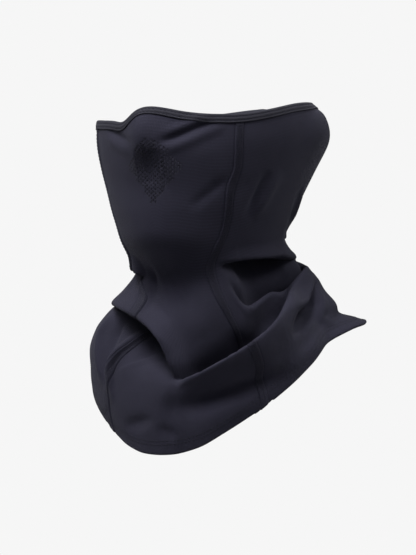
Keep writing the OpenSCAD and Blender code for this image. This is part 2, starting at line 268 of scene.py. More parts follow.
# Each wrinkle: (angle, height, rise, half-width above, half-width below); a negative rise is a valley
WRINKLES = [
    # mouth hollow and the sides of the nose
    [(-6, 58, -0.8, 9, 9), (2.5, 58, -2.2, 10, 10), (10, 58, -0.6, 9, 9)],
    [(3, 68, -0.6, 7, 7), (3, 56, -1.3, 8, 8), (4, 44, -0.6, 8, 8)],
    # cheek wrinkles under the binding, near side
    [(7, 71.5, 0, 3, 3), (14, 75.2, -2.2, 3.0, 3.2), (20, 79.4, -2.3, 2.8, 3.4), (27, 84.2, -2.0, 2.6, 3.4), (35, 88.5, 0, 3, 3)],
    [(9, 78, 0, 3, 3), (16, 82, 1.2, 2.6, 2.6), (24, 87, 1.2, 2.6, 2.6), (32, 91, 0, 3, 3)],
    [(8, 66.5, 0, 4, 4), (16, 70, 1.4, 3.4, 3.8), (24, 75, 1.3, 3.2, 4.0), (34, 81.5, 0.9, 3, 3.4), (40, 85, 0, 3, 3)],
    [(20, 66, 0, 6, 6), (30, 74, -0.7, 6, 6), (40, 80, 0, 6, 6)],
    # cheek wrinkle, far side
    [(-30, 85, 0, 3, 3), (-22, 81, -1.6, 3.0, 3.4), (-13, 76, -1.5, 3.0, 3.4), (-4, 69, 0, 4, 4)],
    [(-33, 80, 0, 4, 4), (-24, 75, 1.0, 4, 4), (-14, 69, 0.8, 4, 4), (-8, 64, 0, 4, 4)],
    # pulls beside the seam
    [(66, 55, 0, 4, 4), (63.5, 47, -2.3, 3.2, 3.2), (61.5, 34, -2.6, 3.2, 3.2), (60, 20, 0, 4, 4)],
    [(73, 56, 0, 5, 5), (70.5, 46, 1.8, 4.2, 4.2), (67.5, 33, 2.0, 4.2, 4.2), (65, 20, 0, 5, 5)],
    [(55, 52, 0, 4, 4), (54, 44, -0.7, 3.2, 3.2), (52, 34, 0, 4, 4)],
    [(26, 27, 0, 5, 5), (32, 34, -1.3, 4, 4), (39, 43, -1.5, 4, 4), (45, 50, 0, 4, 4)],
    # the nape's upright fold
    [(97, 50, 0, 4, 4), (101, 38, 1.7, 3.4, 3.4), (107, 25, 1.9, 3.4, 3.4), (112, 14, 0, 4, 4)],
    [(92, 46, 0, 5, 5), (95, 34, -1.1, 4, 4), (100, 22, -1.1, 4, 4), (104, 12, 0, 4, 4)],
    # the deep pit on the far side of the neck, and the ridge that curls round it
    [(-52, -10, 0, 4, 4), (-44, -12, -2, 4.0, 4.0), (-37, -14, -5, 4.0, 4.0), (-31, -16, -7, 4.2, 4.2), (-27, -18.5, -4, 3.6, 3.6), (-25, -23, 0, 4, 4)],
    [(-40, -4, 0, 3, 3), (-30, -7, 1.8, 2.8, 2.8), (-23.5, -12, 3.2, 2.8, 2.8), (-20.5, -18, 3.0, 2.8, 2.8), (-20.5, -26, 1.4, 3, 3), (-20.5, -33, 0, 3, 3)],
    [(-12, -10, 0, 5, 5), (-9, -20, -2.6, 5, 5), (-7.5, -30, -2.2, 5, 5), (-6, -42, 0, 5, 5)],
    # chest of the cowl
    [(-2, -30, 0, 9, 9), (3, -50, 1.8, 6, 8), (7, -68, 2.8, 5, 8), (10, -80, 2.8, 4, 7), (11.5, -92, 0, 4, 6)],
    [(10, -98, 0, 7, 7), (22, -93, 2.4, 7, 8), (36, -81, 4.6, 7, 10), (50, -69, 5.0, 7, 10), (62, -58, 4.0, 6, 9), (74, -48, 2.0, 6, 7), (84, -40, 0, 6, 6)],
    # soft valley across the bib
    [(2, -112, 0, 8, 8), (14, -109.5, -4.0, 8, 9), (22, -106, -7.0, 8, 10), (34, -99, -8.4, 8, 11), (46, -93.5, -7.4, 8, 11), (56, -90, -4.2, 7, 9), (68, -83, 0, 6, 6)],
    [(20, -118, 0, 9, 9), (36, -108, 1.6, 8, 8), (50, -99, 1.4, 8, 8), (62, -92, 0, 8, 8)],
    [(66, -72, 0, 6, 6), (74, -67, -1.8, 5, 5), (84, -59, -2.2, 5, 5), (94, -52, -1.6, 5, 5), (102, -47, 0, 5, 5)],
    # valley and ridge beside the shoulder's crease
    [(99, -31, 0, 4, 4), (94, -37, -2.6, 4, 4), (86, -45, -3.0, 4, 4.5), (77, -54, -2.2, 4, 5), (70, -61, 0, 5, 5)][::-1],
    [(109, -24, 0, 4, 4), (103, -32, 2.0, 3.4, 3.4), (98, -40, 2.4, 3.4, 3.4), (95, -48, 1.8, 3.6, 3.6), (100, -51, 0.8, 4, 4), (106, -53, 0, 4, 4)][::-1],
    # small wrinkles low on the bib
    [(-22, -125, 0, 3, 3), (-15, -122.5, -1.8, 4.2, 5.6), (-8, -120, -1.7, 4.2, 5.6), (-1, -119, 0, 3, 3)],
    [(0, -123.5, 0, 3, 3), (4, -126, -1.3, 3.8, 5.0), (8, -128, -1.3, 3.8, 5.0), (13, -130, 0, 3, 3)],
    [(-6, -104, 0, 8, 8), (4, -101, 1.2, 7, 7), (14, -101, 0, 7, 7)],
    # upright folds of the bib's far side
    [(-50, -44, 0, 5, 5), (-47, -58, 4.2, 2.4, 3.2), (-42, -72, 4.6, 2.4, 3.2), (-38, -86, 3.2, 2.8, 3.6), (-36, -98, 0, 5, 5)],
    [(-40, -46, 0, 5, 5), (-37, -58, -5.2, 5.0, 5.0), (-35, -70, -5.0, 4.6, 4.6), (-34, -84, -2.6, 4.2, 4.2), (-33, -96, 0, 5, 5)],
    [(-14, -52, 0, 3, 4), (-20, -60, 3.6, 2.2, 3.6), (-25, -71, 5.2, 2.0, 3.6), (-28.5, -82, 4.8, 2.0, 3.6), (-28, -96, 3.0, 2.4, 3.6), (-28, -110, 0, 4, 4)],
    [(-6, -62, 0, 6, 6), (-10, -72, -1.8, 6, 6), (-12, -86, -1.4, 7, 7), (-12, -100, 0, 8, 8)],
    # the back of the skirt
    [(126, -24, 0, 6, 6), (132, -34, 1.2, 6, 6), (137, -44, 1.2, 6, 6), (139, -52, 0, 6, 6)],
    [(140, -14, 0, 7, 7), (147, -28, -1.8, 7, 7), (151, -42, -1.6, 7, 7), (152, -52, 0, 7, 7)],
    [(176, -10, 0, 8, 8), (171, -24, 1.8, 8, 8), (168, -38, 2.0, 8, 8), (167, -50, 0.6, 8, 8)],
    [(192, -14, 0, 7, 7), (197, -28, -1.6, 7, 7), (201, -42, -1.6, 7, 7), (202, -52, 0, 7, 7)],
    [(214, -18, 0, 7, 7), (222, -32, 2.2, 6, 6), (228, -44, 2.0, 6, 6), (231, -54, 0, 6, 6)],
    [(246, -30, 0, 7, 7), (252, -44, -2.0, 6, 6), (258, -56, -1.6, 6, 6), (263, -66, 0, 6, 6)],
    [(-82, -44, 0, 7, 7), (-76, -58, 2.2, 6, 6), (-70, -72, 2.0, 6, 6), (-66, -86, 0, 6, 6)],
    # the back of the head
    [(128, 34, 0, 7, 7), (140, 28, -1.2, 6, 6), (156, 25, -1.4, 6, 6), (172, 25, 0, 6, 6)],
    [(190, 27, 0, 7, 7), (206, 27, -1.3, 6, 6), (222, 31, -1.2, 6, 6), (236, 38, 0, 6, 6)],
    [(-100, 42, 0, 6, 6), (-92, 30, -1.2, 5, 5), (-86, 18, -1.0, 5, 5), (-82, 8, 0, 5, 5)],
]
WRINKLES = [Line(w, 120) for w in WRINKLES]


def drift(th, z):
    """The slight unevenness of a stretched knit."""
    a, b = np.radians(th), z / 40.0
    return (0.22 * np.sin(5 * a + 1.3 * b + 0.7) * np.sin(2.1 * b + 1.1) + 0.16 * np.sin(9 * a - 2.0 * b + 2.0)
            + 0.12 * np.sin(3.7 * b + 4 * a + 0.4) + 0.07 * np.sin(17 * a + 5.1 * b) * np.sin(4.4 * b - 6 * a))


def surf(th, z, lift=0.0):
    """Where the cloth lies: its middle face for lift 0, in millimetres."""
    shape = np.broadcast(th, z).shape
    th, z = np.broadcast_to(th, shape).ravel().astype(float), np.broadcast_to(z, shape).ravel().astype(float)
    du, dz, h = np.zeros_like(th), np.zeros_like(th), drift(th, z) - 0.7 + np.broadcast_to(lift, shape).ravel()
    for kind, line in FOLDS:
        m, d, n, val = line.near(th, z, 46)
        if d is None:
            continue
        over, depth, half, deep, wide = val.T
        e = over - half / 3
        w = (d - e) / half if kind == "over" else (d + e) / half
        g = swing(w)
        du[m] -= over * g * n[:, 0]
        dz[m] -= over * g * n[:, 1]
        behind = -d if kind == "over" else d
        past = np.maximum(behind - 0.35 * over, 0)
        hollow = np.where(behind > 0.35 * over, np.exp(-(np.sqrt(past * past + 4.0) - 2.0) / wide) * (1 - ease((behind - 20.0) / 25.0)),
                          ease((behind + 0.5 * half) / (0.35 * over + 0.5 * half + 0.1)))
        h[m] += depth * g * (1 if kind == "over" else -1) - deep * hollow
    for line in WRINKLES:
        m, d, n, val = line.near(th, z, 30)
        if d is None:
            continue
        h[m] += val[:, 0] * bell(d / np.where(d > 0, val[:, 1], val[:, 2]))
    th2, z2 = th + du / RU, z + dz
    p = base(th2, z2) + base_normal(th2, z2) * h[:, None]
    return p.reshape(shape + (3,))


# ------------------------------------------------------------------ mesh helpers
def unit(v):
    return v / np.maximum(np.linalg.norm(v, axis=-1, keepdims=True), 1e-12)


def make(name, verts, faces, uvs=None, smooth=True):
    """A mesh object from points in millimetres, and faces as lists or an array of quads."""
    me = bpy.data.meshes.new(name)
    verts = np.asarray(verts, np.float32) * MM
    if isinstance(faces, np.ndarray):
        sizes = np.full(len(faces), faces.shape[1], np.int32)
        loops = faces.astype(np.int32).ravel()
    else:
        sizes = np.array([len(f) for f in faces], np.int32)
        loops = np.fromiter((i for f in faces for i in f), np.int32, sizes.sum())
    me.vertices.add(len(verts))
    me.vertices.foreach_set("co", verts.ravel())
    me.loops.add(len(loops))
    me.loops.foreach_set("vertex_index", loops)
    me.polygons.add(len(sizes))
    starts = np.concatenate([[0], np.cumsum(sizes)[:-1]]).astype(np.int32)
    me.polygons.foreach_set("loop_start", starts)
    me.polygons.foreach_set("use_smooth", np.full(len(sizes), smooth))
    me.update(calc_edges=True)
    if uvs is not None:
        layer = me.uv_layers.new(name="cloth")
        layer.uv.foreach_set("vector", np.asarray(uvs, np.float32)[loops].ravel())
    me.validate()
    ob = bpy.data.objects.new(name, me)
    bpy.context.scene.collection.objects.link(ob)
    return ob


def grid_faces(rows, cols, index=None):
    a = (np.arange(rows - 1)[:, None] * cols + np.arange(cols - 1)[None, :]).ravel()
    return np.stack([a, a + cols, a + cols + 1, a + 1], 1)


def vertex_normals(p, faces):
    n = np.zeros_like(p)
    for f in faces if isinstance(faces, list) else [faces]:
        if len(f) == 0:
            continue
        if f.shape[1] == 4:
            fn = np.cross(p[f[:, 2]] - p[f[:, 0]], p[f[:, 3]] - p[f[:, 1]])
        else:
            fn = np.cross(p[f[:, 1]] - p[f[:, 0]], p[f[:, 2]] - p[f[:, 0]])
        for k in range(f.shape[1]):
            np.add.at(n, f[:, k], fn)
    return unit(n)


def shell(name, p, quads, tris, uv, out, back):
    """A closed sheet of real thickness round a middle face: p points, faces wound outwards."""
    n = vertex_normals(p, [quads, tris])
    k = len(p)
    v = np.concatenate([p + n * out, p - n * back])
    faces = [tuple(f) for f in quads] + [tuple(f) for f in tris]
    edges = {}
    for f in faces:
        for a, b in zip(f, f[1:] + f[:1]):
            edges[(a, b)] = 1
    rim = [(a, b) for a, b in edges if (b, a) not in edges]
    inner = [tuple(i + k for i in reversed(f)) for f in faces]
    sides = [(b, a, a + k, b + k) for a, b in rim]
    return make(name, v, faces + inner + sides, np.concatenate([uv, uv]))


# ------------------------------------------------------------------ the three panels
THICK = 1.3
HEM_W = 10.0
FINE = 900
ROWS = 210
STEP = 1.45
STEP_FRONT = 1.15
NEAR = [0.03, 0.55, 1.1, 1.7, 2.25, 2.6, 2.85, 3.1, 3.5, 4.2, 5.2, 6.4]


def seam_angle(side, z):
    return tSL(z) if side == "L" else -tSR(z) if side == "R" else np.full_like(z, 180.0 if side == "B+" else -180.0)


def mm_per_deg(th, z):
    return np.linalg.norm(base(th + 0.5, z) - base(th - 0.5, z), axis=-1)


def seam_lift(dist):
    """The seam's raised band, with a groove along each edge."""
    return 0.5 * ease((3.0 - dist) / 0.7) - 0.38 * bell((dist - 3.15) / 0.5)


def seam_z(side, n):
    """Heights down a seam, from the top edge to the hem."""
    z0, z1 = 104.0, -40.0
    for _ in range(60):
        z0 = float(ztop(seam_angle(side, np.array([z0]))[0]))
        z1 = float(zbot(seam_angle(side, np.array([z1]))[0]))
    return np.linspace(z0, z1, n)


def columns(left, right):
    """Material angles and heights (FINE x columns) of a panel from its left seam to its right,
    and each column's distance from the nearer seam."""
    width = 240.0 if left == "R" else 330.0
    mid = int(round((width / 2) / (STEP_FRONT if left == "R" else STEP)))
    cols = [("a", d) for d in NEAR] + [("m", t) for t in (np.arange(1, mid) / mid)] + [("b", d) for d in NEAR[::-1]]
    za, zb = seam_z(left, FINE), seam_z(right, FINE)
    ths, zs, dist = [], [], []
    for kind, v in cols:
        if kind == "a":
            z = za
            th = seam_angle(left, z)
            th = th + v / mm_per_deg(th, z)
            d = v
        elif kind == "b":
            z = zb
            th = seam_angle(right, z)
            th = th - v / mm_per_deg(th, z)
            d = v
        else:
            f = v
            # heights are those of this column's own ends, found from its angle
            ends = []
            for edge, guess in ((ztop, 100.0), (zbot, -60.0)):
                zz = guess
                for _ in range(25):
                    q = np.array([zz])
                    a = seam_angle(left, q) + NEAR[-1] / mm_per_deg(seam_angle(left, q), q)
                    b = seam_angle(right, q) - NEAR[-1] / mm_per_deg(seam_angle(right, q), q)
                    zz = 0.5 * zz + 0.5 * float(edge(a + (b - a) * f)[0])
                ends.append(zz)
            z = np.linspace(ends[0], ends[1], FINE)
            a = seam_angle(left, z) + NEAR[-1] / mm_per_deg(seam_angle(left, z), z)
            b = seam_angle(right, z) - NEAR[-1] / mm_per_deg(seam_angle(right, z), z)
            th = a + (b - a) * f
            d = 99.0
        if kind != "m":
            t0, t1 = float(ztop(th[:1])[0]), float(zbot(th[-1:])[0])
            z = t0 + (z - z[0]) * (t1 - t0) / (z[-1] - z[0])
            s = seam_angle(left if kind == "a" else right, z)
            th = s + (v if kind == "a" else -v) / mm_per_deg(s, z)
        ths.append(th)
        zs.append(z)
        dist.append(d)
    return np.stack(ths, 1), np.stack(zs, 1), np.array(dist)


def even_rows(th, z, p, n):
    """Rows at even steps of real length down each column."""
    ln = np.concatenate([np.zeros((1, p.shape[1])), np.cumsum(np.linalg.norm(np.diff(p, axis=0), axis=2), 0)])
    out = np.empty((n, p.shape[1], 3)), np.empty((n, p.shape[1])), np.empty((n, p.shape[1])), np.empty((n, p.shape[1]))
    for j in range(p.shape[1]):
        t = np.linspace(0, ln[-1, j], n)
        for c in range(3):
            out[0][:, j, c] = np.interp(t, ln[:, j], p[:, j, c])
        out[1][:, j] = np.interp(t, ln[:, j], th[:, j])
        out[2][:, j] = np.interp(t, ln[:, j], z[:, j])
        out[3][:, j] = t
    return out


def grid_normals(p):
    a = np.gradient(p, axis=1)
    b = np.gradient(p, axis=0)
    return unit(np.cross(b, a))


# Nose perforations: staggered holes over a soft diamond
HOLE_R = 0.52
HOLE_C = (4.4, 56.0)  # angle and height of the zone's middle


def perforations():
    pts = []
    rows = np.arange(-17, 14)
    for i in rows:
        z = HOLE_C[1] + 1.42 * i
        # half-width of the zone at this height, in millimetres
        t = (z - HOLE_C[1])
        half = 30.0 * (1 - t / 24.0) if t > 0 else 30.0 * (1 + t / 27.0)
        half = min(half, 24.5 - 0.12 * abs(t)) if t > 4 else half
        for k in range(-9, 10):
            x = 4.7 * (k + 0.5 * (i % 2))
            if abs(x) <= half * 0.92:
                pts.append((HOLE_C[0] + x / 1.72, z))
    return pts


PANELS = {}


def build_panel(key, left, right):
    th, z, dist = columns(left, right)
    lift = seam_lift(dist)[None, :] * np.ones_like(z)
    p = surf(th, z, lift)
    # material length down the cloth, without the binding's and hem's extra plies
    p, th, z, ln = even_rows(th, z, p, ROWS)
    nrm = grid_normals(p)
    PANELS[key] = dict(p=p, n=nrm, th=th, z=z, ln=ln, dist=dist)
    return PANELS[key]


def at_from_hem(g, a):
    """Points and normals of every column at a distance a up from the hem."""
    out_p, out_n = [], []
    for j in range(g["p"].shape[1]):
        t = g["ln"][-1, j] - a
        out_p.append([np.interp(t, g["ln"][:, j], g["p"][:, j, c]) for c in range(3)])
        out_n.append([np.interp(t, g["ln"][:, j], g["n"][:, j, c]) for c in range(3)])
    return np.array(out_p), unit(np.array(out_n))


def at_from_top(g, a):
    out_p, out_n = [], []
    for j in range(g["p"].shape[1]):
        out_p.append([np.interp(a, g["ln"][:, j], g["p"][:, j, c]) for c in range(3)])
        out_n.append([np.interp(a, g["ln"][:, j], g["n"][:, j, c]) for c in range(3)])
    return np.array(out_p), unit(np.array(out_n))


def finish_panel(key, name):
    g = PANELS[key]
    p, th, z, ln = g["p"], g["th"], g["z"], g["ln"]
    rows, cols = p.shape[:2]
    # a smooth normal at the hem's edge, where a fold's slope would tilt it
    p0, n0 = at_from_hem(g, 0.0)
    p1, _ = at_from_hem(g, 1.5)
    down = unit(p0 - p1)
    extra = []
    r = (THICK + 0.24) / 2
    for a in np.radians([22, 45, 68, 90, 112, 135, 158]):
        extra.append((p0 - n0 * r * (1 - math.cos(a)) + down * r * math.sin(a), -0.2 * 0))
    steps = np.linspace(0, HEM_W, 8)
    for a in steps:
        q, m = at_from_hem(g, a)
        extra.append((q - m * 2 * r, 0))
    allp = np.concatenate([p, np.stack([e[0] for e in extra])])
    v = np.concatenate([ln, ln[-1:] + np.concatenate([np.arange(1, 8) * r * 0.39, 2.7 + steps])[:, None]])
    u = np.concatenate([th, np.repeat(th[-1:], len(extra), 0)]) * 1.35
    uv = np.stack([u, v], -1).reshape(-1, 2) / 10.0
    total = rows + len(extra)
    quads = grid_faces(total, cols)
    pts = allp.reshape(-1, 3)
    tris = np.zeros((0, 3), int)
    if key == "front":
        # the perforated zone is meshed round its holes
        holes = perforations()
        hx = np.array(holes)
        ztops, zlow = hx[:, 1].max() + 3.5, hx[:, 1].min() - 3.5
        mid = cols // 2
        r0 = int(np.searchsorted(-z[:, mid], -ztops)) - 1
        r1 = int(np.searchsorted(-z[:, mid], -zlow)) + 1
        rr = slice(r0, r1 + 1)
        c0 = int(np.argmax(th[(r0 + r1) // 2] > hx[:, 0].min() - 3.0)) - 1
        c1 = int(np.argmax(th[(r0 + r1) // 2] > hx[:, 0].max() + 3.0)) + 1
        keep = []
        sub = np.zeros((total - 1, cols - 1), bool)
        sub[r0:r1, c0:c1] = True
        quads = quads[~sub.ravel()]
        ids = (np.arange(total)[:, None] * cols + np.arange(cols)[None, :])[r0:r1 + 1, c0:c1 + 1]
        flat = {i: (th.ravel()[i] * 1.72, z.ravel()[i]) for i in ids.ravel()}
        order = list(ids.ravel())
        co = [Vector(flat[i]) for i in order]
        nb = len(order)
        loc = {i: k for k, i in enumerate(order)}
        edge = [ids[0, k] for k in range(ids.shape[1])] + [ids[k, -1] for k in range(1, ids.shape[0])] \
            + [ids[-1, k] for k in range(ids.shape[1] - 2, -1, -1)] + [ids[k, 0] for k in range(ids.shape[0] - 2, 0, -1)]
        # grid points too near a hole are dropped, so that no sliver forms
        hp = np.stack([hx[:, 0] * 1.72, hx[:, 1]], 1)
        rim = set(edge)
        keep = [i for i in order if i in rim or np.min(np.hypot(*(hp - np.array(flat[i])).T)) > HOLE_R + 0.42]
        loc = {i: k for k, i in enumerate(keep)}
        co = [Vector(flat[i]) for i in keep]
        par = [flat[i] for i in keep]
        cedges = [(loc[a], loc[b]) for a, b in zip(edge, edge[1:] + edge[:1])]
        sides = 10
        for (a, b) in hp:
            k0 = len(co)
            for s in range(sides):
                t = 2 * math.pi * s / sides
                q = (a + HOLE_R * math.cos(t), b + HOLE_R * math.sin(t))
                co.append(Vector(q)); par.append(q)
            cedges += [(k0 + s, k0 + (s + 1) % sides) for s in range(sides)]
        res = delaunay_2d_cdt(co, cedges, [], 0, 1e-6)
        vs, fs, orig = res[0], res[2], res[3]
        own = []
        newp, newid = [], {}
        base_n = len(pts)
        vv = np.array([[v_.x, v_.y] for v_ in vs])
        need = []
        for k, o in enumerate(orig):
            o = [x for x in o if x < len(co)]
            if o and o[0] < len(keep):
                newid[k] = int(keep[o[0]])
            else:
                newid[k] = base_n + len(need)
                need.append(k)
        add = surf(vv[need, 0] / 1.72, vv[need, 1], 0.0)
        zz = vv[need, 1]
        # length down the cloth near the zone runs with height
        row_ln = np.interp(-zz, -z[:, mid], ln[:, mid])
        adduv = np.stack([vv[need, 0] / 1.72 * 1.35, row_ln], 1) / 10.0
        pts = np.concatenate([pts, add])
        uv = np.concatenate([uv, adduv])
        out = []
        lo2, hi2 = np.array([flat[i] for i in ids[:, 0]]), np.array([flat[i] for i in ids[:, -1]])
        poly = np.array([flat[i] for i in edge])

        def inside(c):
            x, y = c
            x1, y1 = poly[:, 0], poly[:, 1]
            x2, y2 = np.roll(x1, -1), np.roll(y1, -1)
            t = ((y1 > y) != (y2 > y)) & (x < (x2 - x1) * (y - y1) / (y2 - y1 + 1e-12) + x1)
            return t.sum() % 2 == 1

        for f in fs:
            c = vv[list(f)].mean(0)
            if np.min(np.hypot(*(hp - c).T)) < HOLE_R * 0.8 or not inside(c):
                continue
            a, b, d = f[:3]
            area = (vv[b, 0] - vv[a, 0]) * (vv[d, 1] - vv[a, 1]) - (vv[b, 1] - vv[a, 1]) * (vv[d, 0] - vv[a, 0])
            g3 = [newid[i] for i in f]
            out.append(g3 if area > 0 else g3[::-1])
        tris = np.array([f for f in out if len(f) == 3 and len(set(f)) == 3])
        used = np.unique(np.concatenate([quads.ravel(), tris.ravel()]))
        remap = -np.ones(len(pts), int)
        remap[used] = np.arange(len(used))
        ring_ids = [newid[k] for k, o in enumerate(orig) if any(x >= len(keep) for x in o if x < len(co))]
        rim_points = np.array([remap[i] for i in ring_ids if i < len(remap) and remap[i] >= 0])
        pts, uv, quads, tris = pts[used], uv[used], remap[quads], remap[tris]
    ob = shell(name, pts, quads, tris, uv, THICK / 2, THICK / 2)
    # painted shade: a weight on the nose holes' rim points darkens the cloth's colour there, where shade falls into the
    # holes
    hole_rim_shade = np.zeros(len(pts), np.float32)
    if key == "front":
        hole_rim_shade[rim_points] = 0.4
    layer = ob.data.attributes.new("hole_rim_shade", "FLOAT", "POINT")
    layer.data.foreach_set("value", np.concatenate([hole_rim_shade, hole_rim_shade]))
    return ob


build_panel("front", "R", "L")
build_panel("left", "L", "B+")
build_panel("right", "B-", "R")
front = finish_panel("front", "front_panel_cloth")
left = finish_panel("left", "left_back_panel_cloth")
right = finish_panel("right", "right_back_panel_cloth")


# ------------------------------------------------------------------ rings: binding, elastic, hem threads
def ring_at_top(a):
    """Points and outward normals round the tube, a millimetres under the top edge."""
    ps, ns = [], []
    for key in ("front", "left", "right"):
        g = PANELS[key]
        q, m = at_from_top(g, a)
        ps.append(q[1:]); ns.append(m[1:])
    return np.concatenate(ps), np.concatenate(ns)


def even_ring(p, n, *more, step):
    d = np.linalg.norm(np.roll(p, -1, 0) - p, axis=1)
    s = np.concatenate([[0], np.cumsum(d)])
    k = max(8, int(round(s[-1] / step)))
    t = np.linspace(0, s[-1], k, endpoint=False)
    outs = []
    for arr in (p, n) + more:
        arr = np.concatenate([arr, arr[:1]])
        outs.append(np.stack([np.interp(t, s, arr[:, c]) for c in range(3)], 1))
    outs[1] = unit(outs[1])
    return outs


def smooth_ring(v, times=3):
    for _ in range(times):
        v = 0.25 * np.roll(v, 1, 0) + 0.5 * v + 0.25 * np.roll(v, -1, 0)
    return v


def ring_frames(step):
    """Frames round the top edge on even steps: points on the edge and 3.2 and 6.6 millimetres down, the outward normal,
    the downward direction and the tangent, from which place() finds points at a millimetres down.
    """
    p0, n0 = ring_at_top(0.0)
    p1, _ = ring_at_top(3.2)
    p2, _ = ring_at_top(6.6)
    p0, n0, p1, p2 = even_ring(p0, n0, p1, p2, step=step)
    p0, p1, p2 = smooth_ring(p0), smooth_ring(p1), smooth_ring(p2)
    t = unit(np.roll(p0, -1, 0) - np.roll(p0, 1, 0))
    down = unit(p2 - p0)
    n = unit(np.cross(t, down))
    n = np.where((n * n0).sum(1, keepdims=True) < 0, -n, n)
    return p0, p1, p2, n, down, t


def place(fr, off, a):
    """A point at normal offset off and a millimetres below the top edge, for each frame."""
    p0, p1, p2, n, down, t = fr
    a = np.asarray(a, float)
    if a.ndim == 0:
        a = np.full(len(p0), float(a))
    f = np.clip(a / 6.6, None, 1.2)[:, None]
    q = p0 * (1 - f) * (1 - 2 * f) + p1 * 4 * f * (1 - f) + p2 * f * (2 * f - 1)
    q = np.where(a[:, None] < 0, p0 + down * a[:, None], q)
    return q + n * np.asarray(off).reshape(-1, 1)


def sweep(name, fr, section, uvscale=1.0):
    m, k = len(section), len(fr[0])
    v = np.stack([place(fr, np.full(k, o), a) for o, a in section], 1)
    idx = np.arange(k * m).reshape(k, m)
    nx = np.roll(idx, -1, 0)
    ix = np.roll(idx, -1, 1)
    ixn = np.roll(nx, -1, 1)
    faces = np.stack([idx, nx, ixn, ix], -1).reshape(-1, 4)
    s = np.concatenate([[0], np.cumsum(np.linalg.norm(np.diff(fr[0], axis=0), axis=1))])
    sec = np.concatenate([[0], np.cumsum(np.hypot(*np.diff(np.array(section), axis=0).T))])
    uv = np.stack([np.repeat(s[:, None], m, 1), np.repeat(sec[None, :], k, 0)], -1).reshape(-1, 2) / 10.0
    return make(name, v.reshape(-1, 3), faces, uv)


def smooth_section(pts, times=2):
    p = np.array(pts, float)
    for _ in range(times):
        a, b = p, np.roll(p, -1, 0)
        p = np.stack([0.75 * a + 0.25 * b, 0.25 * a + 0.75 * b], 1).reshape(-1, 2)
    return [tuple(x) for x in p]


MID = 0.7  # the middle face's offset inside the outer one
fr = ring_frames(1.5)
o = MID  # offsets below are from the cloth's outer face
binding_section = [(o + 0.02, 5.45), (o + 0.6, 5.62), (o + 0.94, 5.3), (o + 0.88, 4.75), (o + 0.52, 4.25), (o + 0.86, 3.75),
                   (o + 1.04, 3.1), (o + 1.02, 2.45), (o + 0.85, 1.95), (o + 0.52, 1.5), (o + 0.85, 1.0), (o + 0.9, 0.4),
                   (o + 0.55, -0.45), (o - 0.4, -0.85), (o - 1.6, -0.8), (o - 2.6, -0.35), (o - 2.95, 0.5), (o - 3.05, 1.9),
                   (o - 3.05, 3.7), (o - 3.0, 5.0), (o - 2.8, 5.5), (o - 2.35, 5.2), (o - 2.28, 3.0), (o - 2.25, 0.8),
                   (o - 1.6, 0.15), (o - 0.6, -0.1), (o + 0.0, 0.1), (o + 0.03, 2.7)]
binding = sweep("top_binding_fabric", fr, smooth_section(binding_section, 1))
elastic_section = []
for k in range(9):
    elastic_section.append((o - 1.5 + 0.06 * (k % 2), 0.8 + 0.48 * k))
for k in range(8, -1, -1):
    elastic_section.append((o - 2.14 - 0.06 * (k % 2), 0.8 + 0.48 * k))
elastic = sweep("binding_elastic_tape", fr, elastic_section)


# ------------------------------------------------------------------ threads
def threads(name, strands, radius, sides=6):
    """Short lengths of thread: each strand is (points, radius scale), rounded at its ends."""
    vs, fs = [], []
    base_i = 0
    ring = np.stack([np.cos(np.arange(sides) * 2 * np.pi / sides), np.sin(np.arange(sides) * 2 * np.pi / sides)], 1)
    for pts, up, flat in strands:
        pts = np.asarray(pts, float)
        m = len(pts)
        t = unit(np.gradient(pts, axis=0))
        up = unit(np.asarray(up, float) - t * (t * up).sum(1, keepdims=True))
        side = np.cross(t, up)
        scale = np.ones(m)
        scale[0] = scale[-1] = 0.45
        r = radius * scale[:, None, None]
        v = pts[:, None, :] + r * (ring[None, :, :1] * side[:, None, :] + flat * ring[None, :, 1:] * up[:, None, :])
        v = np.concatenate([v.reshape(-1, 3), [pts[0] - t[0] * radius * 0.45], [pts[-1] + t[-1] * radius * 0.45]])
        idx = np.arange(m * sides).reshape(m, sides) + base_i
        a, b = idx[:-1], idx[1:]
        f = np.stack([a, np.roll(a, -1, 1), np.roll(b, -1, 1), b], -1).reshape(-1, 4)
        fs += [tuple(x) for x in f]
        h, e = base_i + m * sides, base_i + m * sides + 1
        fs += [(h, int(idx[0, (k + 1) % sides]), int(idx[0, k])) for k in range(sides)]
        fs += [(e, int(idx[-1, k]), int(idx[-1, (k + 1) % sides])) for k in range(sides)]
        vs.append(v)
        base_i += len(v)
    return make(name, np.concatenate(vs), fs)


def along(p, n, pitch, length, height, dip, closed=False, phase=0.0, jitter=0.0, seed=1):
    """A row of stitches on a path: each arches a little and dips into the cloth at its ends."""
    if closed:
        p, n = np.concatenate([p, p[:1]]), np.concatenate([n, n[:1]])
    s = np.concatenate([[0], np.cumsum(np.linalg.norm(np.diff(p, axis=0), axis=1))])
    count = int(s[-1] // pitch)
    pitch = s[-1] / count if closed else pitch
    rng = np.random.default_rng(seed)
    out = []
    k = 5
    w = np.linspace(0, 1, k)
    arch = np.array([-dip, height * 0.75, height, height * 0.75, -dip])
    for i in range(count - (0 if closed else 1)):
        s0 = (i + 0.5 + phase) * pitch - length / 2 + rng.uniform(-1, 1) * jitter
        t = s0 + w * length
        if t[-1] > s[-1] or t[0] < 0:
            continue
        q = np.stack([np.interp(t, s, p[:, c]) for c in range(3)], 1)
        m = unit(np.stack([np.interp(t, s, n[:, c]) for c in range(3)], 1))
        out.append((q + m * arch[:, None], m, 0.85))
    return out


